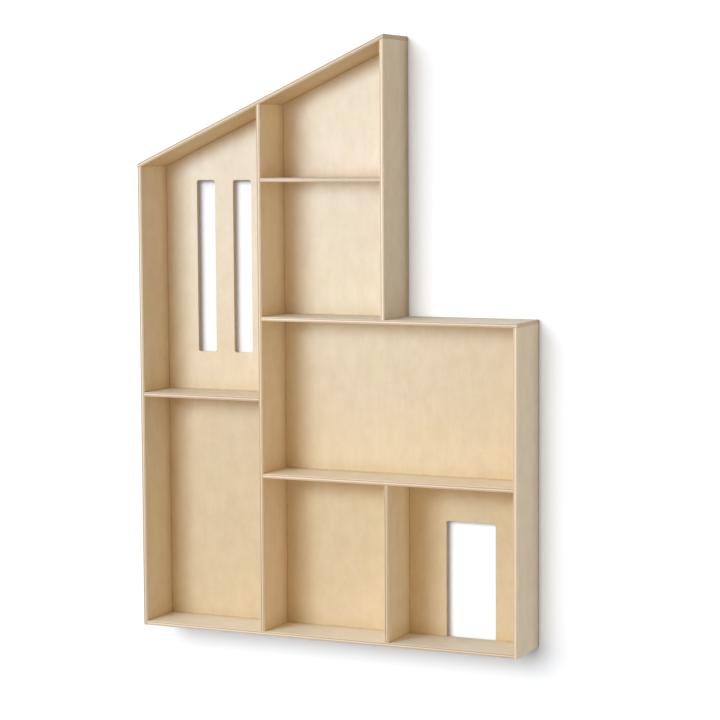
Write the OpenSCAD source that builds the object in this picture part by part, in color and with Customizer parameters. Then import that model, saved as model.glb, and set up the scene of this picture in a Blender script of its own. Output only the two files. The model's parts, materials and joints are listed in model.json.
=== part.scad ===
// House-shaped wall shelf: a shallow plywood case with a sloping roof over the tall
// part, a low flat roof over the side part, seven rooms, two tall windows and a door
// cut through the back panel. It hangs on two wall screws by hidden keyhole plates.
//
// The frame below is the maker's: X from the left outer face, Y from the front edges
// towards the wall, Z up from the underside. seat_on_wall() moves it so that the origin
// lies on the wall, midway between the two keyholes that the shelf hangs by.

/* [Outline] */
// Overall width, outer face to outer face
body_w = 550; // [530:1:640]
// Height of the peak of the sloping roof above the underside
peak_h = 800; // [790:1:860]
// Height of the sloping roof's top face at its low end
eaves_h = 635; // [632:1:700]
// Width of the tall part under the sloping roof
tower_w = 366; // [350:1:390]
// Height of the low roof's top face above the underside
low_roof_h = 431; // [380:1:500]
// Depth from the front edges to the wall
body_d = 80; // [70:1:140]

/* [Boards] */
// Thickness of the frame boards, shelves and dividers
board_t = 5.5; // [5:0.5:7]
// Thickness of the back panel
panel_t = 4; // [3:0.5:5]
// Depth of the space left behind the back panel for the hangers
rear_space = 6; // [5.5:0.5:10]
// Radius that breaks the long edges of each board
edge_r = 0.5; // [0.3:0.1:1]

/* [Rooms] */
// Left outer face to the left face of the long divider
long_divider_x = 181.5; // [170:0.5:195]
// Left outer face to the left face of the short divider
short_divider_x = 364.5; // [320:0.5:400]
// Height of the left shelf's top face
left_shelf_h = 323; // [300:1:325]
// Height of the tower shelf's top face
tower_shelf_h = 615.5; // [560:0.5:616]
// Height of the top face of the shelf over the ground floor
room_shelf_h = 220; // [200:1:260]

/* [Windows and door] */
// Left outer face to the left window's left edge
window_x = 53; // [40:1:58]
// Width of each window
window_w = 28; // [20:1:32]
// Distance from one window's left edge to the next one's
window_pitch = 56; // [48:1:60]
// Height of the windows' lower edge above the left shelf
window_sill = 52.5; // [30:0.5:55]
// Height of each window
window_h = 236.5; // [180:0.5:238]
// Left outer face to the door's left edge
door_x = 423.5; // [400:0.5:440]
// Width of the door
door_w = 70; // [50:1:80]
// Height of the door above the floor board's top face
door_h = 155.5; // [120:0.5:180]
// Radius that the cutter leaves in the corners of the windows and the door
corner_r = 3; // [1.5:0.5:4]

/* [Joints] */
// How far a board's end is let into its neighbour
housing_d = 2; // [1:0.5:2.5]
// Distance from the front edges to the start of each housing, so that none shows
housing_stop = 8; // [5:1:20]
// Thickness of the lip that hides the edge of the back panel
lip_t = 3; // [2:0.5:3.5]
// Glue gap at the end of each housing and round the back panel
fit_gap = 0.1; // [0.05:0.05:0.2]

/* [Hangers] */
// Left outer face to the centre of the left hanger
hanger_x = 93.5; // [80:0.5:100]
// Distance between the two keyholes
hanger_pitch = 180; // [170:1:190]
// Gap between the sloping roof and the nearest corner of the left hanger pad
hanger_gap = 4; // [2:0.5:5]
// Width of each hanger pad
pad_w = 70; // [64:1:74]
// Height of each hanger pad
pad_h = 30; // [26:1:30]
// Width of each keyhole plate
plate_w = 52; // [46:1:56]
// Height of each keyhole plate
plate_h = 20; // [18:1:24]
// Thickness of each keyhole plate
plate_t = 1.5; // [1:0.25:2]
// Diameter of the hole that the wall screw's head enters
entry_d = 9; // [8:0.5:10]
// Width of the slot that the wall screw's shank slides up
slot_w = 4.5; // [4:0.25:5]
// Distance that the shelf drops onto its wall screws
slot_travel = 8; // [6:0.5:8.5]
// Room all round the wall screw's head in the pad behind the keyhole
head_room = 1; // [0.5:0.25:1.5]

/* [Small fixings] */
// Distance of each plate screw from the keyhole
plate_screw_x = 19; // [16:0.5:20]
// Shank diameter of the plate screws
screw_d = 3; // [2.5:0.5:3.5]
// Head diameter of the plate screws
screw_head_d = 5.6; // [5:0.2:6]
// Overall length of the plate screws
screw_l = 7.5; // [6.5:0.5:8]
// Shank diameter of the panel pins
pin_d = 1.2; // [1:0.1:1.6]
// Head diameter of the panel pins
pin_head_d = 2.2; // [2:0.1:2.8]
// Height of the panel pins' heads, sunk flush in the panel
pin_head_h = 0.8; // [0.5:0.1:1]
// Overall length of the panel pins
pin_l = 16; // [12:1:20]
// Distance of each panel pin from the end of its board
pin_inset = 40; // [25:1:50]
// Clearance between a pin or screw and its hole
shank_gap = 0.03; // [0.02:0.01:0.05]

/* [Hidden] */

// Depth of the rooms, from the front edges to the back panel
room_d = body_d - rear_space - panel_t;
// Depth of the back panel's rear face
panel_rear = room_d + panel_t;
// Length of a tongue, short of its housing by the glue gap
tongue_l = housing_d - fit_gap;
// How far a cut runs past the face it starts from
over = 1;
// Steps in each rounded board edge
edge_steps = 4;
round_fn = 48;

// Right faces of the dividers, and the inner faces of the frame
long_divider_r = long_divider_x + board_t;
short_divider_r = short_divider_x + board_t;
right_inner = body_w - board_t;
tower_inner = tower_w - board_t;

roof_rise = (peak_h - eaves_h) / tower_w;
roof_a = atan(roof_rise);

// Hanger heights: the pads lie level, the left one just under the sloping roof
pad_t = rear_space - plate_t;
hanger_h = roof_z(hanger_x - pad_w / 2, board_t) - hanger_gap - pad_h / 2;
hanger_xs = [hanger_x, hanger_x + hanger_pitch];
// The entry hole lies below the plate's middle by half the drop
entry_drop = slot_travel / 2;
// The plate screws' countersinks are cut at 45 degrees
screw_head_h = (screw_head_d - screw_d) / 2;

window_xs = [window_x, window_x + window_pitch];
window_z = left_shelf_h + window_sill;

// Panel pins, as [x, z], along the rear edges of the shelves and dividers
pin_spots = concat(
    pin_row(board_t, long_divider_x, left_shelf_h),
    pin_row(long_divider_r, tower_inner, tower_shelf_h),
    pin_row(long_divider_r, tower_inner, low_roof_h),
    pin_row(long_divider_r, right_inner, room_shelf_h),
    [for (z = [
        board_t + pin_inset,
        (room_shelf_h + low_roof_h) / 2,
        (low_roof_h + tower_shelf_h) / 2,
        roof_z(long_divider_x, board_t) - pin_inset
    ]) [long_divider_x + board_t / 2, z]],
    [for (z = [board_t + pin_inset, room_shelf_h - board_t - pin_inset])
        [short_divider_x + board_t / 2, z]]
);

ply = [0.87, 0.77, 0.62];
ply_side = [0.76, 0.68, 0.56];
steel = [0.72, 0.73, 0.74];

// Height at x of the plane that lies d under the sloping roof's top face
function roof_z(x, d) = eaves_h + x * roof_rise - d / cos(roof_a);

// Two pins through the panel into a shelf that spans x0 to x1 with its top at top_z
function pin_row(x0, x1, top_z) = [
    for (x = [x0 + pin_inset, x1 - pin_inset]) [x, top_z - board_t / 2]
];

function arc(cx, cy, r, from, to) = [
    for (i = [0:edge_steps])
        let (a = from + (to - from) * i / edge_steps) [cx + r * cos(a), cy + r * sin(a)]
];

// Section of a board: X from its outer face, Y from its front edge. A frame board also
// has its outer rear edge broken, where it meets the wall.
function board_profile(depth) = concat(
    arc(edge_r, edge_r, edge_r, 180, 270),
    arc(board_t - edge_r, edge_r, edge_r, 270, 360),
    [[board_t, depth]],
    depth > room_d ? arc(edge_r, depth - edge_r, edge_r, 90, 180) : [[0, depth]]
);

module seat_on_wall() {
    translate([-(hanger_xs[0] + hanger_xs[1]) / 2, -body_d, entry_drop - hanger_h]) children();
}

// A board along Z with a tongue on each end where ends asks for one. tongue_u is the
// tongue's distance from the outer face: 0 for the full thickness, lip_t for a tongue
// on the inner side only.
module board(length, depth, ends, tongue_u) {
    linear_extrude(length) polygon(board_profile(depth));
    if (ends[0]) tongue(-tongue_l, tongue_u);
    if (ends[1]) tongue(length - over, tongue_u);
}

module tongue(z, tongue_u) {
    translate([tongue_u, housing_stop, z])
        cube([board_t - tongue_u, room_d - housing_stop, tongue_l + over]);
}

// Ways of placing a board: its outer face to the left, to the right, up or down
module facing_left(x, z) {
    translate([x, 0, z]) children();
}

module facing_right(x, z) {
    translate([x, 0, z]) mirror([1, 0, 0]) children();
}

module facing_up(x, z) {
    translate([x, 0, z]) rotate([0, 90, 0]) children();
}

module facing_down(x, z) {
    translate([x, 0, z]) mirror([0, 0, 1]) rotate([0, 90, 0]) children();
}

// An XZ outline carried from depth y0 to depth y1
module slab(points, y0, y1) {
    translate([0, y1, 0]) rotate([90, 0, 0]) linear_extrude(y1 - y0) polygon(points);
}

module box(x0, x1, y0, y1, z0, z1) {
    translate([x0, y0, z0]) cube([x1 - x0, y1 - y0, z1 - z0]);
}

// Everything below, or above, the plane that lies d under the roof's top face
module under_roof(x0, x1, y0, y1, d) {
    slab([[x0, 0], [x1, 0], [x1, roof_z(x1, d)], [x0, roof_z(x0, d)]], y0, y1);
}

module over_roof(x0, x1, y0, y1, d) {
    top = peak_h + 2 * body_d;
    slab([[x0, roof_z(x0, d)], [x1, roof_z(x1, d)], [x1, top], [x0, top]], y0, y1);
}

// Housing for a shelf's end: from face x it goes to x + dir * housing_d
module shelf_housing(x, dir, top_z) {
    x_far = x + dir * housing_d;
    box(min(x, x_far), max(x, x_far), housing_stop, room_d + over, top_z - board_t, top_z);
}

// Housing for an upright's end in a level board: from face z it goes to z + dir * housing_d
module upright_housing(x0, x1, z, dir) {
    z_far = z + dir * housing_d;
    box(x0, x1, housing_stop, room_d + over, min(z, z_far), max(z, z_far));
}

// Rebate for the panel's edge in an upright frame board, between two heights
module side_rebate(x0, x1, z0, z1) {
    box(x0, x1, room_d, body_d + over, z0, z1);
}

// Cuts an upright's top to the slope of the roof. The tongue stands up between tongue_x0
// and tongue_x1, behind the stop, and reaches almost to the bottom of its housing.
module roof_bevel(x0, x1, tongue_x0, tongue_x1) {
    over_roof(x0 - over, x1 + over, -over, housing_stop, board_t);
    over_roof(x0 - over, tongue_x0, housing_stop - over, body_d + over, board_t);
    over_roof(tongue_x1, x1 + over, housing_stop - over, body_d + over, board_t);
    over_roof(tongue_x0 - over, tongue_x1 + over, room_d, body_d + over, board_t);
    over_roof(tongue_x0 - over, tongue_x1 + over, -over, body_d + over, board_t - tongue_l);
}

// A board's end that is let into the roof's under face
module roof_housing(x0, x1) {
    under_roof(x0, x1, housing_stop, room_d + over, board_t - housing_d);
}

module left_side() {
    color(ply) seat_on_wall() difference() {
        facing_left(0, 0) board(peak_h, body_d, [false, false], 0);
        roof_bevel(0, board_t, lip_t, board_t);
        side_rebate(lip_t, board_t + over, lip_t, peak_h + over);
        shelf_housing(board_t, -1, left_shelf_h);
        // Housing for the floor board's tongue
        box(board_t - housing_d, board_t + over, housing_stop, room_d + over, lip_t, board_t);
    }
}

module right_side() {
    color(ply_side) seat_on_wall() difference() {
        facing_right(body_w, 0) board(low_roof_h - board_t, body_d, [false, true], lip_t);
        side_rebate(right_inner - over, body_w - lip_t, lip_t, low_roof_h + over);
        shelf_housing(right_inner, 1, room_shelf_h);
        // Housing for the floor board's tongue
        box(right_inner - over, right_inner + housing_d, housing_stop, room_d + over, lip_t, board_t);
    }
}

// The tower's right side stands on the low roof
module tower_side() {
    height = peak_h - low_roof_h;
    color(ply_side) seat_on_wall() difference() {
        facing_right(tower_w, low_roof_h) board(height, body_d, [true, false], lip_t);
        roof_bevel(tower_inner, tower_w, tower_inner, tower_w - lip_t);
        side_rebate(tower_inner - over, tower_w - lip_t, low_roof_h - over, peak_h + over);
        shelf_housing(tower_inner, 1, tower_shelf_h);
    }
}

// The sloping roof lies over both sides and its ends are cut plumb
module sloping_roof() {
    length = tower_w / cos(roof_a);
    run_past = 2 * board_t;
    color(ply) seat_on_wall() difference() {
        intersection() {
            translate([0, 0, eaves_h]) rotate([0, -roof_a, 0]) facing_up(-run_past, 0)
                board(length + 2 * run_past, body_d, [false, false], 0);
            box(0, tower_w, -over, body_d + over, 0, 2 * peak_h);
        }
        // Rebate for the panel's top edge
        under_roof(lip_t, tower_w - lip_t, room_d, body_d + over, lip_t);
        roof_housing(lip_t, board_t);
        roof_housing(long_divider_x, long_divider_r);
        roof_housing(tower_inner, tower_w - lip_t);
    }
}

// The low roof is a shelf as far as the tower's side, and full depth beyond it
module low_roof() {
    lip_x = tower_w - lip_t;
    color(ply) seat_on_wall() difference() {
        union() {
            facing_up(long_divider_r, low_roof_h)
                board(body_w - long_divider_r, body_d, [false, false], 0);
            box(long_divider_r - tongue_l, long_divider_r + over, housing_stop, room_d,
                low_roof_h - board_t, low_roof_h);
        }
        // The back panel passes behind the shelf part
        box(long_divider_r - over, lip_x, room_d, body_d + over,
            low_roof_h - board_t - over, low_roof_h + over);
        // Rebate for the panel's upper edge
        box(lip_x - over, body_w - lip_t, room_d, body_d + over,
            low_roof_h - board_t - over, low_roof_h - lip_t);
        upright_housing(tower_inner, lip_x, low_roof_h, -1);
        upright_housing(right_inner, body_w - lip_t, low_roof_h - board_t, 1);
        pin_holes();
    }
}

module floor_board() {
    color(ply) seat_on_wall() difference() {
        facing_down(board_t, 0) board(right_inner - board_t, body_d, [true, true], lip_t);
        // Rebate for the panel's lower edge
        box(0, body_w, room_d, body_d + over, lip_t, board_t + over);
        upright_housing(long_divider_x, long_divider_r, board_t, -1);
        upright_housing(short_divider_x, short_divider_r, board_t, -1);
    }
}

// From the floor board to the sloping roof
module long_divider() {
    color(ply_side) seat_on_wall() difference() {
        facing_left(long_divider_x, board_t) board(peak_h, room_d, [true, false], 0);
        roof_bevel(long_divider_x, long_divider_r, long_divider_x, long_divider_r);
        shelf_housing(long_divider_x, 1, left_shelf_h);
        shelf_housing(long_divider_r, -1, tower_shelf_h);
        shelf_housing(long_divider_r, -1, low_roof_h);
        shelf_housing(long_divider_r, -1, room_shelf_h);
        pin_holes();
    }
}

module short_divider() {
    height = room_shelf_h - 2 * board_t;
    color(ply_side) seat_on_wall() difference() {
        facing_left(short_divider_x, board_t) board(height, room_d, [true, true], 0);
        pin_holes();
    }
}

// A shelf between the faces x0 and x1, let into both
module shelf(x0, x1, top_z) {
    difference() {
        facing_up(x0, top_z) board(x1 - x0, room_d, [true, true], 0);
        pin_holes();
    }
}

module left_shelf() {
    color(ply) seat_on_wall() shelf(board_t, long_divider_x, left_shelf_h);
}

module tower_shelf() {
    color(ply) seat_on_wall() shelf(long_divider_r, tower_inner, tower_shelf_h);
}

module room_shelf() {
    color(ply) seat_on_wall() difference() {
        shelf(long_divider_r, right_inner, room_shelf_h);
        upright_housing(short_divider_x, short_divider_r, room_shelf_h - board_t, 1);
    }
}

// A rectangle with true round corners
module rounded_rect(w, h, r) {
    translate([r, 0]) square([w - 2 * r, h]);
    translate([0, r]) square([w, h - 2 * r]);
    for (x = [r, w - r], y = [r, h - r]) translate([x, y]) circle(r, $fn = round_fn);
}

// The panel's outline follows the lips all round, clear of them by the glue gap
module panel_outline() {
    edge = lip_t + fit_gap;
    polygon([
        [edge, edge],
        [body_w - edge, edge],
        [body_w - edge, low_roof_h - edge],
        [tower_w - edge, low_roof_h - edge],
        [tower_w - edge, roof_z(tower_w - edge, edge)],
        [edge, roof_z(edge, edge)]
    ]);
}

module back_panel() {
    color(ply) seat_on_wall() difference() {
        translate([0, panel_rear, 0]) rotate([90, 0, 0]) linear_extrude(panel_t) difference() {
            panel_outline();
            for (x = window_xs) translate([x, window_z]) rounded_rect(window_w, window_h, corner_r);
            // The door is open at the floor, so its cut runs out of the panel's lower edge
            translate([door_x, -board_t])
                rounded_rect(door_w, door_h + 2 * board_t, corner_r);
        }
        pin_holes();
        pilot_holes();
    }
}

// Bores for the panel pins, from the panel's rear face
module pin_holes() {
    for (p = pin_spots) translate([p[0], panel_rear, p[1]]) rotate([90, 0, 0]) {
        translate([0, 0, -over])
            cylinder(d = pin_d + 2 * shank_gap, h = pin_l + 2 * over, $fn = round_fn);
        translate([0, 0, -over])
            cylinder(d = pin_head_d + 2 * shank_gap, h = pin_head_h + over, $fn = round_fn);
    }
}

module panel_pins() {
    color(steel) seat_on_wall()
        for (p = pin_spots) translate([p[0], panel_rear, p[1]]) rotate([90, 0, 0]) {
            cylinder(d = pin_head_d, h = pin_head_h, $fn = round_fn);
            cylinder(d = pin_d, h = pin_l, $fn = round_fn);
        }
}

// Places its children on each plate screw's axis at the wall, with Z into the shelf
module at_plate_screws(xs) {
    for (x = xs, side = [-1, 1])
        translate([x + side * plate_screw_x, body_d, hanger_h]) rotate([90, 0, 0]) children();
}

// Bores that the plate screws cut in the pads and the panel
module pilot_holes() {
    at_plate_screws(hanger_xs)
        cylinder(d = screw_d + 2 * shank_gap, h = screw_l + over / 2, $fn = round_fn);
}

// Outline of a keyhole, its round entry below the slot, widened all round by extra
module keyhole(extra) {
    translate([0, -entry_drop]) circle(d = entry_d + 2 * extra, $fn = round_fn);
    translate([0, entry_drop]) circle(d = slot_w + 2 * extra, $fn = round_fn);
    translate([-slot_w / 2 - extra, -entry_drop]) square([slot_w + 2 * extra, 2 * entry_drop]);
}

// Round-ended slot that gives the wall screw's head room to slide up inside the pad
module head_slot() {
    w = entry_d + 2 * head_room;
    for (z = [-entry_drop, entry_drop]) translate([0, z]) circle(d = w, $fn = round_fn);
    translate([-w / 2, -entry_drop]) square([w, 2 * entry_drop]);
}

// Plywood pad glued behind the panel
module hanger_pad(x) {
    difference() {
        translate([x, panel_rear + pad_t, hanger_h]) rotate([90, 0, 0])
            linear_extrude(pad_t) difference() {
                translate([-pad_w / 2, -pad_h / 2]) rounded_rect(pad_w, pad_h, corner_r);
                head_slot();
            }
        pilot_holes();
    }
}

module hanger_pad_left() {
    color(ply) seat_on_wall() hanger_pad(hanger_xs[0]);
}

module hanger_pad_right() {
    color(ply) seat_on_wall() hanger_pad(hanger_xs[1]);
}

// Steel plate with half-round ends, screwed to the pad flush with the frame's rear edges
module hanger_plate(x) {
    difference() {
        translate([x, body_d, hanger_h]) rotate([90, 0, 0]) linear_extrude(plate_t) difference() {
            union() {
                square([plate_w - plate_h, plate_h], center = true);
                for (side = [-1, 1])
                    translate([side * (plate_w - plate_h) / 2, 0]) circle(d = plate_h, $fn = round_fn);
            }
            keyhole(0);
        }
        at_plate_screws([x]) {
            translate([0, 0, -over])
                cylinder(d = screw_d + 2 * shank_gap, h = plate_t + 2 * over, $fn = round_fn);
            screw_head(shank_gap);
        }
    }
}

// Countersunk head, widest at the wall, widened by extra
module screw_head(extra) {
    cylinder(d1 = screw_head_d + 2 * extra, d2 = screw_d + 2 * extra, h = screw_head_h, $fn = round_fn);
}

module hanger_plate_left() {
    color(steel) seat_on_wall() hanger_plate(hanger_xs[0]);
}

module hanger_plate_right() {
    color(steel) seat_on_wall() hanger_plate(hanger_xs[1]);
}

// Countersunk screws with a cross recess and a short point
module hanger_screws() {
    point_l = screw_d / 2;
    recess_w = screw_d / 4;
    recess_d = screw_head_h / 2;
    color(steel) seat_on_wall() at_plate_screws(hanger_xs) difference() {
        union() {
            screw_head(0);
            cylinder(d = screw_d, h = screw_l - point_l, $fn = round_fn);
            translate([0, 0, screw_l - point_l])
                cylinder(d1 = screw_d, d2 = screw_d / 4, h = point_l, $fn = round_fn);
        }
        for (a = [0, 90]) rotate([0, 0, a])
            translate([-screw_d / 2, -recess_w / 2, -over]) cube([screw_d, recess_w, recess_d + over]);
    }
}

back_panel();
left_side();
right_side();
tower_side();
sloping_roof();
low_roof();
floor_board();
long_divider();
short_divider();
left_shelf();
tower_shelf();
room_shelf();
hanger_pad_left();
hanger_pad_right();
hanger_plate_left();
hanger_plate_right();
hanger_screws();
panel_pins();
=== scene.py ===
"""House-shaped wall shelf: birch plywood boards, steel hangers and a plain white wall."""
import json
import math
from collections import namedtuple
import bpy
from mathutils import Euler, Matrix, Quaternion, Vector

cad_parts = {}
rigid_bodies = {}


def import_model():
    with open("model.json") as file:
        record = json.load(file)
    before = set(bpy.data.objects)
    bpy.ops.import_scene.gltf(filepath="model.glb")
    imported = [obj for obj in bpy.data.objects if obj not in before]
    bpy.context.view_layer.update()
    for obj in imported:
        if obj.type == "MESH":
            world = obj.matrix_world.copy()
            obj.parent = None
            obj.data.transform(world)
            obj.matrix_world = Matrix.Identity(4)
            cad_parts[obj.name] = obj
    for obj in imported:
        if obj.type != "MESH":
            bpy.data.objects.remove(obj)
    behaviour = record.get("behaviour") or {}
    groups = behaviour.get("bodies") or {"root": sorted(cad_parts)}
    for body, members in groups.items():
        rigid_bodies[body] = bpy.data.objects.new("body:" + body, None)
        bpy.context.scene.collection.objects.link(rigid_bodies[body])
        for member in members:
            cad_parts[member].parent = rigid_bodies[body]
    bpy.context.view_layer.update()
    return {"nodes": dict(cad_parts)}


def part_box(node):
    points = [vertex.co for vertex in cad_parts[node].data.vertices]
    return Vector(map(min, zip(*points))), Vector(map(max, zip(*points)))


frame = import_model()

# The photograph's frame and camera
PHOTO_SIZE = 720
SENSOR_MM = 36.0
FOCAL_PX = 2248.95
CAMERA_AT = (1.3695, -2.7410, 0.0105)
CAMERA_YAW = -0.4305
CAMERA_PITCH = -0.0902
CAMERA_ROLL = -0.0060

WHITE = (1.0, 1.0, 1.0)
MM = 1000.0

# The key light is a near softbox at the upper left, tilted in its own plane
KEY_AT = (-0.598, -1.50, 0.061)
KEY_AIM = (0.09, -0.04, -0.23)
KEY_SIZE = (0.44, 0.90)
KEY_TILT = 50.0
KEY_WATTS = 22.2
KEY_COLOUR = (0.70, 0.86, 1.0)

# Wide distant lamps: degrees to the left of and above the wall's normal, strength, spread
# and colour
FILLS = {
    "high_fill": (60.0, 60.0, 0.90, 60.0, WHITE),
    "left_fill": (60.0, 10.0, 0.115, 60.0, WHITE),
    "right_fill": (-60.0, -8.0, 0.275, 60.0, WHITE),
    "upper_right_fill": (-45.0, 45.0, 0.11, 60.0, WHITE),
    "low_right_fill": (-80.0, -40.0, 0.43, 60.0, (0.86, 0.91, 1.0)),
    "front_fill": (0.0, 0.0, 0.66, 60.0, (1.0, 0.78, 0.45)),
}
# The same for lamps that light only the wall
WALL_LAMPS = {
    "wall_lamp_left": (17.5, 18.0, 1.08, 32.0, WHITE),
    "wall_lamp_right": (0.0, 18.0, 1.14, 32.0, WHITE),
    "wall_fill": (0.0, 0.0, 0.45, 120.0, (0.62, 0.83, 1.0)),
}
# The lamp behind the wall, which shines straight at the shelf's back
BACK_STRENGTH = 2.2
BACK_SPREAD = 8.0
# Even light from all around
SKY_STRENGTH = 0.17
SKY_COLOUR = (1.0, 0.79, 0.60)

# The wall stands a little behind the shelf, as if that hung on screw heads. The last two are
# its white for light and for the camera.
WALL_SIZE = 9.0
WALL_GAP = 0.0025
WALL_WHITE = 0.86
WALL_SHOWN = (1.105, 1.135, 1.185)

# Lengths in the wood's material are in millimetres, from here on.
# How near two boards' boxes come where they meet, and a distance beyond all joints
TOUCH = 1.0
FAR_OFF = 1000.0
# The dark line at a joint: tint, start, least and greatest width, and unevenness
JOINT_LINE = (0.82, 0.79, 0.75)
LINE_START = 0.2
LINE_WIDTH = (0.8, 2.2)
LINE_UNEVEN = (0.35, 0.7)
LINE_NOISE = 0.16
# The soft shade beside it: reach and tint
SOFT_REACH = 18.0
JOINT_SOFT = (0.985, 0.94, 0.86)

# Glue lines in boards and in thin sheets, as shares of the way from the middle to the face,
# and where each line starts and ends
BOARD_LINES = (0.30, 0.80)
SHEET_LINES = (0.60,)
LAYER_STEP = 0.02
GLUE_FADE = (0.03, 0.07)
LAYER_WOBBLE = 0.10

# Shifts in the noise: between boards along and across the grain, between a board's two faces,
# and for the clouds of hue
BOARD_SHIFT = (517.0, 291.0)
FACE_SHIFT = 900.0
HUE_SHIFT = 31.0

# Figures of the veneer: length and width of the marks, detail and roughness
DRIFT = (210.0, 75.0)
FIBRE = (16.0, 0.34, 3.0, 0.6)
BAND = (110.0, 8.0, 3.0)
CLOUD = (120.0, 80.0)
MOTTLE = (26.0, 21.0, 4.0, 0.62)
HUE = (55.0, 36.0, 5.0, 0.66)
FLECK = (2.4, 0.42, 1.0)
MARK = (9.0, 1.1, 1.0)
# Growth rings: pitch, how far the drift bends them and the fibres, and the dark end of a ring
RING_PITCH = 64.0
RING_BEND = 9.0
FIBRE_BEND = 46.0
RING_END = (0.86, 0.99)

BIRCH_LIGHT = (0.835, 0.700, 0.505)
BIRCH_WARM = (0.805, 0.655, 0.450)
BIRCH_BROWN = (0.500, 0.330, 0.190)
# Faint clouds of hue in the veneer
PINKER = (0.996, 0.992, 1.030)
YELLOWER = (0.980, 1.009, 0.972)
# Share of brown in a ring's end, a fleck and a mark
RING_BROWN = 0.03
FLECK_BROWN = 0.30
MARK_BROWN = 0.35

# Figures of a cut edge, with the depth over which fibres and pores change
WOBBLE = (30.0, 30.0)
EDGE_FIBRE = (7.0, 7.0)
FIBRE_DEPTH = 0.16
EDGE_PORE = (0.28, 0.28)
PORE_DEPTH = 0.24
# Cut edges: layers with long grain and with end grain, a board's sawn end, and glue
LONG_GRAIN = ((0.95, 0.78, 0.575), (0.835, 0.665, 0.465))
END_GRAIN = ((0.64, 0.49, 0.36), (0.44, 0.31, 0.21))
SAWN_END = (0.645, 0.49, 0.34)
SAWN_SHARE = 0.85
GLUE_BROWN = (0.30, 0.18, 0.11)
GLUE_SHARE = 0.55

# The wood's sheen and relief, which is in metres
WOOD_ROUGHNESS = (0.44, 0.56)
WOOD_SPECULAR = 0.35
WOOD_RELIEF = 0.00004
WOOD_BUMP = 0.6
# How square to an axis a surface is where it turns from edge to face, and to the rear face
FACE_TURN = (0.62, 0.8)
REAR_TURN = (0.4, 0.6)

# Places in front of the wall between which boards darken, and the shade there
INNER_SHADE = (-32.0, -9.0, 1.0, 0.93)
EDGE_SHADE = (-6.0, -1.5, 1.0, 0.70)

# Steel: colour, roughness, and the drawn grain's scale per metre and strength
PLATE_STEEL = ((0.50, 0.51, 0.52), 0.34, (60.0, 900.0, 4200.0), 0.5)
SCREW_STEEL = ((0.40, 0.395, 0.38), 0.28, (1500.0, 300.0, 1500.0), 0.4)
PIN_STEEL = ((0.36, 0.36, 0.37), 0.36, (2500.0, 300.0, 2500.0), 0.4)
# Its relief in metres, how far its roughness varies, and its dull patches
STEEL_RELIEF = 0.00001
STEEL_SPREAD = (-0.07, 0.1)
PATCH_SCALE = 190.0
PATCH_SHARE = 0.35
PATCH_DARK = 0.62

BOARDS = [
    "left_side", "right_side", "tower_side", "sloping_roof", "low_roof", "floor_board",
    "long_divider", "short_divider", "left_shelf", "tower_shelf", "room_shelf",
]
PANELS = ["back_panel"]
PADS = ["hanger_pad_left", "hanger_pad_right"]
PLATES = ["hanger_plate_left", "hanger_plate_right"]

# The panel's tone over the plain birch, low down and high up, and the heights where it turns;
# then the tone of its cut edges. Both are partly the sheet's own tone and partly painted light:
# the panel is lighter and paler high up, and its cut edges are lighter.
PANEL_TONE_AND_PAINTED_LIGHT = ((0.915, 0.862, 0.800), (1.015, 1.040, 1.185))
PANEL_RISE = (-500.0, 100.0)
PANEL_EDGE_TONE_AND_PAINTED_LIGHT = (1.25, 1.25, 1.25)
# The places of the panel's left and right, and its lightness there: painted light, darker at the
# left and lighter at the right.
PANEL_SIDES_PAINTED_LIGHT = (-100.0, 200.0, 0.94, 1.035)
# The tones of each board's faces and of its cut edges over the plain birch. They are partly each
# sheet's own tone and partly painted light and shade, which make some boards lighter and others
# darker than the lamps leave them.
PLAIN_TONES = (WHITE, WHITE)
BOARD_TONES_AND_PAINTED_LIGHT = {
    "left_side": ((0.980, 0.963, 0.937), (0.865, 0.865, 0.875)),
    "long_divider": ((1.085, 1.038, 0.975), (0.895, 0.850, 0.800)),
    "short_divider": ((1.230, 1.265, 1.290), (0.890, 0.840, 0.770)),
    "sloping_roof": ((0.930, 0.845, 0.712), (0.800, 0.785, 0.785)),
    "floor_board": ((1.078, 1.143, 1.305), (1.030, 1.035, 1.075)),
    "room_shelf": ((1.100, 1.135, 1.245), (1.055, 1.025, 1.025)),
    "left_shelf": ((0.970, 1.012, 1.140), (0.900, 0.855, 0.850)),
    "tower_shelf": ((0.958, 0.990, 1.105), (0.870, 0.845, 0.835)),
    "low_roof": ((0.894, 0.998, 1.185), (1.030, 1.010, 1.040)),
    "tower_side": ((0.882, 0.887, 0.905), (1.100, 1.110, 1.140)),
    "right_side": ((1.018, 1.044, 1.094), (1.205, 1.205, 1.230)),
}

OUT = Vector((0.0, 1.0, 0.0))
UP = Vector((0.0, 0.0, 1.0))
RIGHT = Vector((1.0, 0.0, 0.0))


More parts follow.
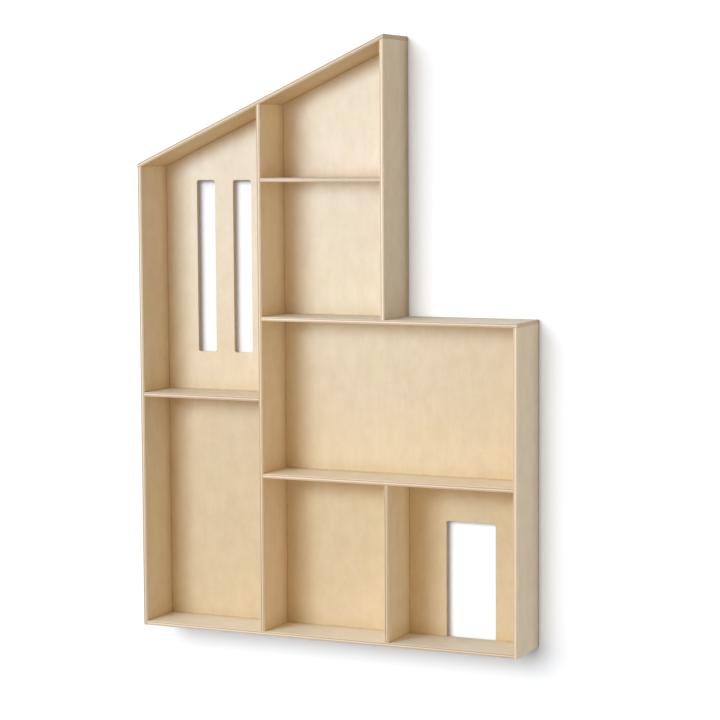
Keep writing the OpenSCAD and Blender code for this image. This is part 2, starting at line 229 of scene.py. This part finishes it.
class Graph:
    """Short calls that add and join the nodes of one material."""

    def __init__(self, name):
        self.material = bpy.data.materials.new(name)
        self.material.use_nodes = True
        self.nodes = self.material.node_tree.nodes
        self.links = self.material.node_tree.links
        self.shader = self.nodes["Principled BSDF"]

    def put(self, socket, value):
        """Joins a value's socket to an input, or sets the input to a plain value."""
        if isinstance(value, bpy.types.NodeSocket):
            self.links.new(value, socket)
        elif value is not None:
            socket.default_value = value

    def add(self, kind, *values, **settings):
        node = self.nodes.new(kind)
        for key, value in settings.items():
            setattr(node, key, value)
        for socket, value in zip(node.inputs, values):
            self.put(socket, value)
        return node

    def math(self, operation, a, b=None, c=None):
        return self.add("ShaderNodeMath", a, b, c, operation=operation).outputs[0]

    def vector(self, operation, a, b=None):
        return self.add("ShaderNodeVectorMath", a, b, operation=operation).outputs["Vector"]

    def dot(self, vector, axis):
        node = self.add("ShaderNodeVectorMath", vector, tuple(axis), operation="DOT_PRODUCT")
        return node.outputs["Value"]

    def join(self, x, y, z):
        return self.add("ShaderNodeCombineXYZ", x, y, z).outputs[0]

    def noise(self, vector, scale=1.0, detail=2.0, roughness=0.5):
        node = self.add("ShaderNodeTexNoise")
        self.put(node.inputs["Vector"], vector)
        self.put(node.inputs["Scale"], scale)
        self.put(node.inputs["Detail"], detail)
        self.put(node.inputs["Roughness"], roughness)
        return node.outputs["Fac"]

    def fade(self, value, low, high, to_low=0.0, to_high=1.0):
        """Carries low..high smoothly to to_low..to_high and stops there."""
        node = self.add("ShaderNodeMapRange", interpolation_type="SMOOTHSTEP")
        for name, given in (("Value", value), ("From Min", low), ("From Max", high),
                            ("To Min", to_low), ("To Max", to_high)):
            self.put(node.inputs[name], given)
        return node.outputs[0]

    def mix(self, amount, a, b, blend="MIX"):
        node = self.add("ShaderNodeMix", data_type="RGBA", blend_type=blend)
        self.put(node.inputs["Factor"], amount)
        self.put(node.inputs[6], (*a, 1.0) if isinstance(a, tuple) else a)
        self.put(node.inputs[7], (*b, 1.0) if isinstance(b, tuple) else b)
        return node.outputs[2]

    def figure(self, u, v, w, length, width, detail=2.0, roughness=0.5):
        """Noise drawn out along the grain, with the length and width of its marks."""
        place = self.join(self.math("DIVIDE", u, length), self.math("DIVIDE", v, width), w)
        return self.noise(place, detail=detail, roughness=roughness)

    def blend(self, amount, a, b):
        return self.math("MULTIPLY_ADD", self.math("SUBTRACT", b, a), amount, a)

    def bump(self, height, distance, strength):
        node = self.add("ShaderNodeBump")
        self.put(node.inputs["Strength"], strength)
        self.put(node.inputs["Distance"], distance)
        self.put(node.inputs["Height"], height)
        return node.outputs["Normal"]


Layers = namedtuple("Layers", "lines thick cut_along cut_across")
BoardBox = namedtuple("BoardBox", "axes centre half")


def board_axes(obj):
    """Grain, cross and thickness directions of a board, from its largest face."""
    through = max(obj.data.polygons, key=lambda face: face.area).normal.copy()
    if abs(through.dot(OUT)) > 0.9:
        along = UP.copy()
    else:
        along = through.cross(OUT).normalized()
    return along, through.cross(along).normalized(), through


def board_box(obj):
    """A board's own axes, and the middle and half size of its box along them, in millimetres."""
    axes = board_axes(obj)
    spans = [[axis.dot(v.co) * MM for v in obj.data.vertices] for axis in axes]
    centre = tuple((min(span) + max(span)) / 2 for span in spans)
    half = tuple((max(span) - min(span)) / 2 for span in spans)
    return BoardBox(axes, centre, half)


def reaches(obj, box):
    """Whether any corner of a board touches another board's box."""
    sides = list(zip(*box))
    return any(
        all(abs(axis.dot(v.co) * MM - middle) < half + TOUCH for axis, middle, half in sides)
        for v in obj.data.vertices)


def joint_shade(g, place, depth, obj):
    """A fine dark line, and a soft shade, where another board or the panel meets this one."""
    near = FAR_OFF
    own = board_box(obj)
    through, middle, half = own.axes[2], own.centre[2], own.half[2]
    for name in BOARDS + PANELS:
        other = bpy.data.objects[name]
        box = board_box(other)
        if other == obj or not (reaches(obj, box) or reaches(other, own)):
            continue
        off = g.join(*(g.dot(place, axis) for axis in box.axes))
        off = g.vector("ABSOLUTE", g.vector("SUBTRACT", off, box.centre))
        off = g.vector("MAXIMUM", g.vector("SUBTRACT", off, box.half), (0.0, 0.0, 0.0))
        off = g.add("ShaderNodeVectorMath", off, operation="LENGTH").outputs["Value"]
        # What meets only one face leaves no line on the other
        spots = [through.dot(v.co) * MM - middle for v in other.data.vertices]
        if min(spots) > -half - TOUCH:
            off = g.math("MULTIPLY_ADD", g.math("LESS_THAN", depth, 0.0), FAR_OFF, off)
        if max(spots) < half + TOUCH:
            off = g.math("MULTIPLY_ADD", g.math("GREATER_THAN", depth, 0.0), FAR_OFF, off)
        near = g.math("MINIMUM", off, near)
    uneven = g.noise(place, scale=LINE_NOISE, detail=3.0)
    width = g.fade(uneven, *LINE_UNEVEN, *LINE_WIDTH)
    line = g.mix(g.fade(near, LINE_START, width), JOINT_LINE, WHITE)
    soft = g.mix(g.fade(near, 0.0, SOFT_REACH), JOINT_SOFT, WHITE)
    return g.mix(1.0, line, soft, "MULTIPLY")


def plywood(name, obj, lines, seed, tones_and_painted_light, edge_tone_and_painted_light):
    """Birch plywood: a figured face veneer, and layers with glue lines on every edge."""
    g = Graph(name)
    box = board_box(obj)
    along, across, through = box.axes
    coordinates = g.add("ShaderNodeTexCoord")
    place = g.add("ShaderNodeVectorMath", coordinates.outputs["Object"], operation="SCALE")
    g.put(place.inputs["Scale"], MM)
    place = place.outputs[0]
    u = g.math("ADD", g.dot(place, along), seed * BOARD_SHIFT[0])
    v = g.math("ADD", g.dot(place, across), seed * BOARD_SHIFT[1])
    depth = g.math("SUBTRACT", g.dot(place, through), box.centre[2])
    facing = coordinates.outputs["Normal"]
    face_on = g.math("ABSOLUTE", g.dot(facing, through))

    veneer, relief, roughness = face_veneer(g, u, v, depth)
    # Tones over the birch, partly painted light and shade; on the panel, painted light makes it
    # lighter and paler high up
    height_share = g.fade(g.dot(place, UP), *PANEL_RISE)
    veneer = g.mix(1.0, veneer, g.mix(height_share, *tones_and_painted_light), "MULTIPLY")
    if lines == SHEET_LINES:
        # Painted light: the panel is darker at its left and lighter at its right
        veneer = g.mix(1.0, veneer, g.fade(g.dot(place, RIGHT), *PANEL_SIDES_PAINTED_LIGHT), "MULTIPLY")
    joints = joint_shade(g, place, depth, obj)
    if lines == SHEET_LINES:
        joints = g.mix(g.fade(g.dot(facing, OUT), *REAR_TURN), joints, WHITE)
    veneer = g.mix(1.0, veneer, joints, "MULTIPLY")
    layers = Layers(lines, box.half[2] * 2, g.math("ABSOLUTE", g.dot(facing, along)),
                    g.math("ABSOLUTE", g.dot(facing, across)))
    edge, edge_relief = ply_edge(g, u, v, depth, layers)
    # The edge tone is partly painted light, which makes cut edges lighter or darker
    edge = g.mix(1.0, edge, edge_tone_and_painted_light, "MULTIPLY")
    is_face = g.fade(face_on, *FACE_TURN)
    colour = g.mix(is_face, edge, veneer)
    if lines == BOARD_LINES:
        colour = g.mix(1.0, colour, rear_shade(g, g.dot(place, OUT)), "MULTIPLY")
    height = g.math("MULTIPLY_ADD", g.math("SUBTRACT", relief, edge_relief), is_face, edge_relief)
    g.put(g.shader.inputs["Base Color"], colour)
    g.put(g.shader.inputs["Roughness"], roughness)
    g.put(g.shader.inputs["Specular IOR Level"], WOOD_SPECULAR)
    g.put(g.shader.inputs["Normal"], g.bump(height, WOOD_RELIEF, WOOD_BUMP))
    return g.material


def face_veneer(g, u, v, depth):
    """Rotary-cut birch: soft mottling, faint growth bands, fibres and a few brown flecks.

    Each figure is a noise from 0 to 1 that fades in between two of its levels.
    """
    side = g.math("MULTIPLY", g.math("SIGN", depth), FACE_SHIFT)
    u = g.math("ADD", u, side)
    drift = g.figure(u, v, side, *DRIFT)
    bent = g.math("MULTIPLY_ADD", g.math("SUBTRACT", drift, 0.5), FIBRE_BEND, v)

    rings = g.math("MULTIPLY_ADD", drift, RING_BEND, g.math("DIVIDE", v, RING_PITCH))
    ring_end = g.fade(g.math("FRACT", rings), *RING_END)
    fibre = g.figure(u, bent, side, *FIBRE)
    band = g.figure(u, bent, side, *BAND)
    cloud = g.figure(u, v, side, *CLOUD)
    mottle = g.figure(u, v, side, *MOTTLE)
    hue = g.figure(u, v, g.math("ADD", side, HUE_SHIFT), *HUE)
    fleck = g.fade(g.figure(u, bent, side, *FLECK), 0.66, 0.74)
    fleck = g.math("MULTIPLY", fleck, g.fade(cloud, 0.35, 0.65, 0.35, 1.0))
    mark = g.fade(g.figure(u, bent, side, *MARK), 0.71, 0.79)

    colour = g.mix(g.fade(band, 0.30, 0.74, 0.0, 0.5), BIRCH_LIGHT, BIRCH_WARM)
    colour = g.mix(g.fade(cloud, 0.30, 0.75, 0.0, 0.45), colour, BIRCH_WARM)
    colour = g.mix(g.fade(mottle, 0.28, 0.72, 0.0, 0.16), colour, BIRCH_BROWN)
    colour = g.mix(1.0, colour, g.mix(g.fade(hue, 0.3, 0.7), PINKER, YELLOWER), "MULTIPLY")
    colour = g.mix(g.math("MULTIPLY", ring_end, RING_BROWN), colour, BIRCH_BROWN)
    colour = g.mix(g.fade(fibre, 0.35, 0.75, 0.0, 0.06), colour, BIRCH_BROWN)
    colour = g.mix(g.math("MULTIPLY", fleck, FLECK_BROWN), colour, BIRCH_BROWN)
    colour = g.mix(g.math("MULTIPLY", mark, MARK_BROWN), colour, BIRCH_BROWN)
    relief = g.math("MULTIPLY_ADD", fleck, -0.8, fibre)
    roughness = g.fade(fibre, 0.3, 0.7, *WOOD_ROUGHNESS)
    return colour, relief, roughness


def ply_edge(g, u, v, depth, layers):
    """Layers seen on a cut edge: long grain and end grain in turn, with thin glue lines."""
    wobble = g.math("SUBTRACT", g.figure(u, v, 0.0, *WOBBLE), 0.5)
    wobble = g.math("MULTIPLY", wobble, LAYER_WOBBLE)
    out = g.math("MULTIPLY_ADD", g.math("ABSOLUTE", depth), 2.0 / layers.thick, wobble)
    crossed = len(layers.lines) % 2
    glue = 0.0
    for line in layers.lines:
        beyond = g.fade(out, line - LAYER_STEP, line + LAYER_STEP)
        crossed = g.math("ABSOLUTE", g.math("SUBTRACT", beyond, crossed))
        off_line = g.math("ABSOLUTE", g.math("SUBTRACT", out, line))
        glue = g.math("MAXIMUM", g.fade(off_line, *GLUE_FADE, 1.0, 0.0), glue)
    end_cut = g.blend(crossed, layers.cut_along, layers.cut_across)

    fibre = g.figure(u, v, g.math("DIVIDE", depth, FIBRE_DEPTH), *EDGE_FIBRE)
    pore = g.figure(u, v, g.math("DIVIDE", depth, PORE_DEPTH), *EDGE_PORE)
    long_grain = g.mix(fibre, *LONG_GRAIN)
    end_grain = g.mix(g.fade(pore, 0.35, 0.7), *END_GRAIN)
    colour = g.mix(end_cut, long_grain, end_grain)
    colour = g.mix(g.math("MULTIPLY", layers.cut_along, SAWN_SHARE), colour, SAWN_END)
    colour = g.mix(g.math("MULTIPLY", glue, GLUE_SHARE), colour, GLUE_BROWN)
    relief = g.math("MULTIPLY_ADD", glue, -0.7, g.blend(end_cut, fibre, pore))
    return colour, relief


def rear_shade(g, back):
    """Boards are a little darker towards the panel, and along the edge that meets the wall."""
    return g.math("MULTIPLY", g.fade(back, *INNER_SHADE), g.fade(back, *EDGE_SHADE))


def metal(name, colour, roughness, grain_scale, strength):
    """Steel with a drawn grain and faint dull patches."""
    g = Graph(name)
    place = g.add("ShaderNodeTexCoord").outputs["Object"]
    grain_at = g.add("ShaderNodeMapping")
    g.put(grain_at.inputs["Vector"], place)
    g.put(grain_at.inputs["Scale"], grain_scale)
    grain = g.noise(grain_at.outputs[0], detail=3.0, roughness=0.6)
    patch = g.noise(place, scale=PATCH_SCALE, detail=3.0)
    dull = tuple(PATCH_DARK * c for c in colour)
    tone = g.mix(g.fade(patch, 0.3, 0.75, 0.0, PATCH_SHARE), colour, dull)
    least, most = (roughness + change for change in STEEL_SPREAD)
    g.put(g.shader.inputs["Base Color"], tone)
    g.put(g.shader.inputs["Metallic"], 1.0)
    g.put(g.shader.inputs["Roughness"], g.fade(grain, 0.3, 0.7, least, most))
    g.put(g.shader.inputs["Normal"], g.bump(grain, STEEL_RELIEF, strength))
    return g.material


def dress(name, material):
    materials = bpy.data.objects[name].data.materials
    materials.clear()
    materials.append(material)


def dress_wood():
    for seed, name in enumerate(BOARDS + PANELS + PADS, start=1):
        obj = bpy.data.objects[name]
        lines = SHEET_LINES if name in PANELS + PADS else BOARD_LINES
        # Each board's tones hold painted light and shade as well as the sheet's own tone
        tone, edge_tone_and_painted_light = BOARD_TONES_AND_PAINTED_LIGHT.get(name, PLAIN_TONES)
        tones_and_painted_light = (tone, tone)
        if name in PANELS:
            tones_and_painted_light, edge_tone_and_painted_light = PANEL_TONE_AND_PAINTED_LIGHT, PANEL_EDGE_TONE_AND_PAINTED_LIGHT
        dress(name, plywood(name + "_birch", obj, lines, seed, tones_and_painted_light, edge_tone_and_painted_light))


def dress_steel():
    plate = metal("hanger_plate_steel", *PLATE_STEEL)
    for name in PLATES:
        dress(name, plate)
    dress("hanger_screws", metal("screw_steel", *SCREW_STEEL))
    dress("panel_pins", metal("pin_steel", *PIN_STEEL))


def behind_shelf(g, place):
    """Whether a point of the wall lies behind the shelf's tall part or its low wing."""
    behind = 0.0
    low = Vector(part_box("left_side")[0])
    for name in ("tower_side", "right_side"):
        high = Vector(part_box(name)[1])
        middle = tuple((low + high) / 2)
        half = tuple((high - low) / 2)
        off = g.vector("ABSOLUTE", g.vector("SUBTRACT", place, middle))
        off = g.add("ShaderNodeSeparateXYZ", g.vector("SUBTRACT", off, half))
        outside = g.math("MAXIMUM", off.outputs["X"], off.outputs["Z"])
        behind = g.math("MAXIMUM", g.math("LESS_THAN", outside, 0.0), behind)
    return behind


def wall_material():
    """Matt white. The camera sees it whiter than it is, and doesn't see it from behind.

    Behind the shelf only the camera sees it, so no light leaks back through the windows.
    """
    g = Graph("wall_white")
    g.nodes.remove(g.shader)
    light_path = g.add("ShaderNodeLightPath")
    geometry = g.add("ShaderNodeNewGeometry")
    seen = light_path.outputs["Is Camera Ray"]
    matt = g.add("ShaderNodeBsdfDiffuse", g.mix(seen, (WALL_WHITE,) * 3, WALL_SHOWN))
    clear = g.add("ShaderNodeBsdfTransparent")
    behind = behind_shelf(g, geometry.outputs["Position"])
    open_part = g.blend(seen, behind, geometry.outputs["Backfacing"])
    shown = g.add("ShaderNodeMixShader", open_part, matt.outputs[0], clear.outputs[0])
    g.put(g.nodes["Material Output"].inputs["Surface"], shown.outputs[0])
    return g.material


def make_wall():
    half = WALL_SIZE / 2
    mesh = bpy.data.meshes.new("wall")
    square = ((-half, -half), (half, -half), (half, half), (-half, half))
    corners = [(x, WALL_GAP, z) for x, z in square]
    mesh.from_pydata(corners, [], [(0, 1, 2, 3)])
    mesh.materials.append(wall_material())
    wall = bpy.data.objects.new("wall", mesh)
    bpy.context.scene.collection.objects.link(wall)
    return wall


def make_world():
    """Even studio light. Rays that would show a background see plain white."""
    world = bpy.data.worlds.new("studio")
    bpy.context.scene.world = world
    world.use_nodes = True
    nodes, links = world.node_tree.nodes, world.node_tree.links
    path = nodes.new("ShaderNodeLightPath")
    shown = nodes.new("ShaderNodeMath")
    shown.operation = "MAXIMUM"
    links.new(path.outputs["Is Camera Ray"], shown.inputs[0])
    links.new(path.outputs["Is Glossy Ray"], shown.inputs[1])
    colour = nodes.new("ShaderNodeMix")
    colour.data_type = "RGBA"
    colour.inputs[6].default_value = (*(SKY_STRENGTH * c for c in SKY_COLOUR), 1.0)
    colour.inputs[7].default_value = (*WHITE, 1.0)
    links.new(shown.outputs[0], colour.inputs["Factor"])
    links.new(colour.outputs[2], nodes["Background"].inputs["Color"])


def add_lamp(data, towards, tilt=0.0):
    lamp = bpy.data.objects.new(data.name, data)
    lamp.rotation_mode = "QUATERNION"
    turn = Quaternion((0.0, 0.0, 1.0), math.radians(-tilt))
    lamp.rotation_quaternion = Vector(towards).to_track_quat("-Z", "Y") @ turn
    bpy.context.scene.collection.objects.link(lamp)
    return lamp


def sun(name, towards, strength, spread, colour=WHITE):
    """A wide distant lamp that shines along the direction given."""
    data = bpy.data.lights.new(name, "SUN")
    data.energy = strength
    data.angle = math.radians(spread)
    data.color = colour
    return add_lamp(data, towards)


def sun_from(name, left, up, strength, spread, colour):
    """A wide distant lamp, to the left of and above the wall's normal by degrees."""
    left, up = math.radians(left), math.radians(up)
    towards = (math.sin(left) * math.cos(up), math.cos(left) * math.cos(up), -math.sin(up))
    return sun(name, towards, strength, spread, colour)


def softbox():
    data = bpy.data.lights.new("key_softbox", "AREA")
    data.shape = "RECTANGLE"
    data.size, data.size_y = KEY_SIZE
    data.energy = KEY_WATTS
    data.color = KEY_COLOUR
    lamp = add_lamp(data, Vector(KEY_AIM) - Vector(KEY_AT), KEY_TILT)
    lamp.location = KEY_AT
    return lamp


def group(name, members):
    collection = bpy.data.collections.new(name)
    for member in members:
        collection.objects.link(member)
    return collection


def make_lights(wall):
    """Lamps for the shelf, lamps for the wall with a short soft shadow, and one at the back."""
    shelf = group("shelf_only", [bpy.data.objects[name] for name in frame["nodes"]])
    for lamp in [softbox()] + [sun_from(name, *setting) for name, setting in FILLS.items()]:
        lamp.light_linking.receiver_collection = shelf
    wall_only = group("wall_only", [wall])
    for name, setting in WALL_LAMPS.items():
        sun_from(name, *setting).light_linking.receiver_collection = wall_only
    # The back is lit from beyond the wall, which neither blocks this lamp nor takes its glow.
    # Nothing shines in it, so that it leaves no glare in front of the doorway.
    back = sun("back_light", -OUT, BACK_STRENGTH, BACK_SPREAD)
    back.light_linking.receiver_collection = shelf
    back.light_linking.blocker_collection = shelf
    back.visible_glossy = False
    back.data.cycles.max_bounces = 0


def make_camera():
    data = bpy.data.cameras.new("camera")
    data.sensor_width = SENSOR_MM
    data.lens = FOCAL_PX * SENSOR_MM / PHOTO_SIZE
    camera = bpy.data.objects.new("camera", data)
    turn = Euler((math.pi / 2 + CAMERA_PITCH, 0.0, -CAMERA_YAW)).to_quaternion()
    roll = Euler((0.0, 0.0, CAMERA_ROLL)).to_quaternion()
    camera.rotation_mode = "QUATERNION"
    camera.rotation_quaternion = turn @ roll
    camera.location = CAMERA_AT
    bpy.context.scene.collection.objects.link(camera)
    bpy.context.scene.camera = camera


make_camera()
make_world()
make_lights(make_wall())
dress_wood()
dress_steel()
bpy.context.scene.view_settings.view_transform = "Standard"
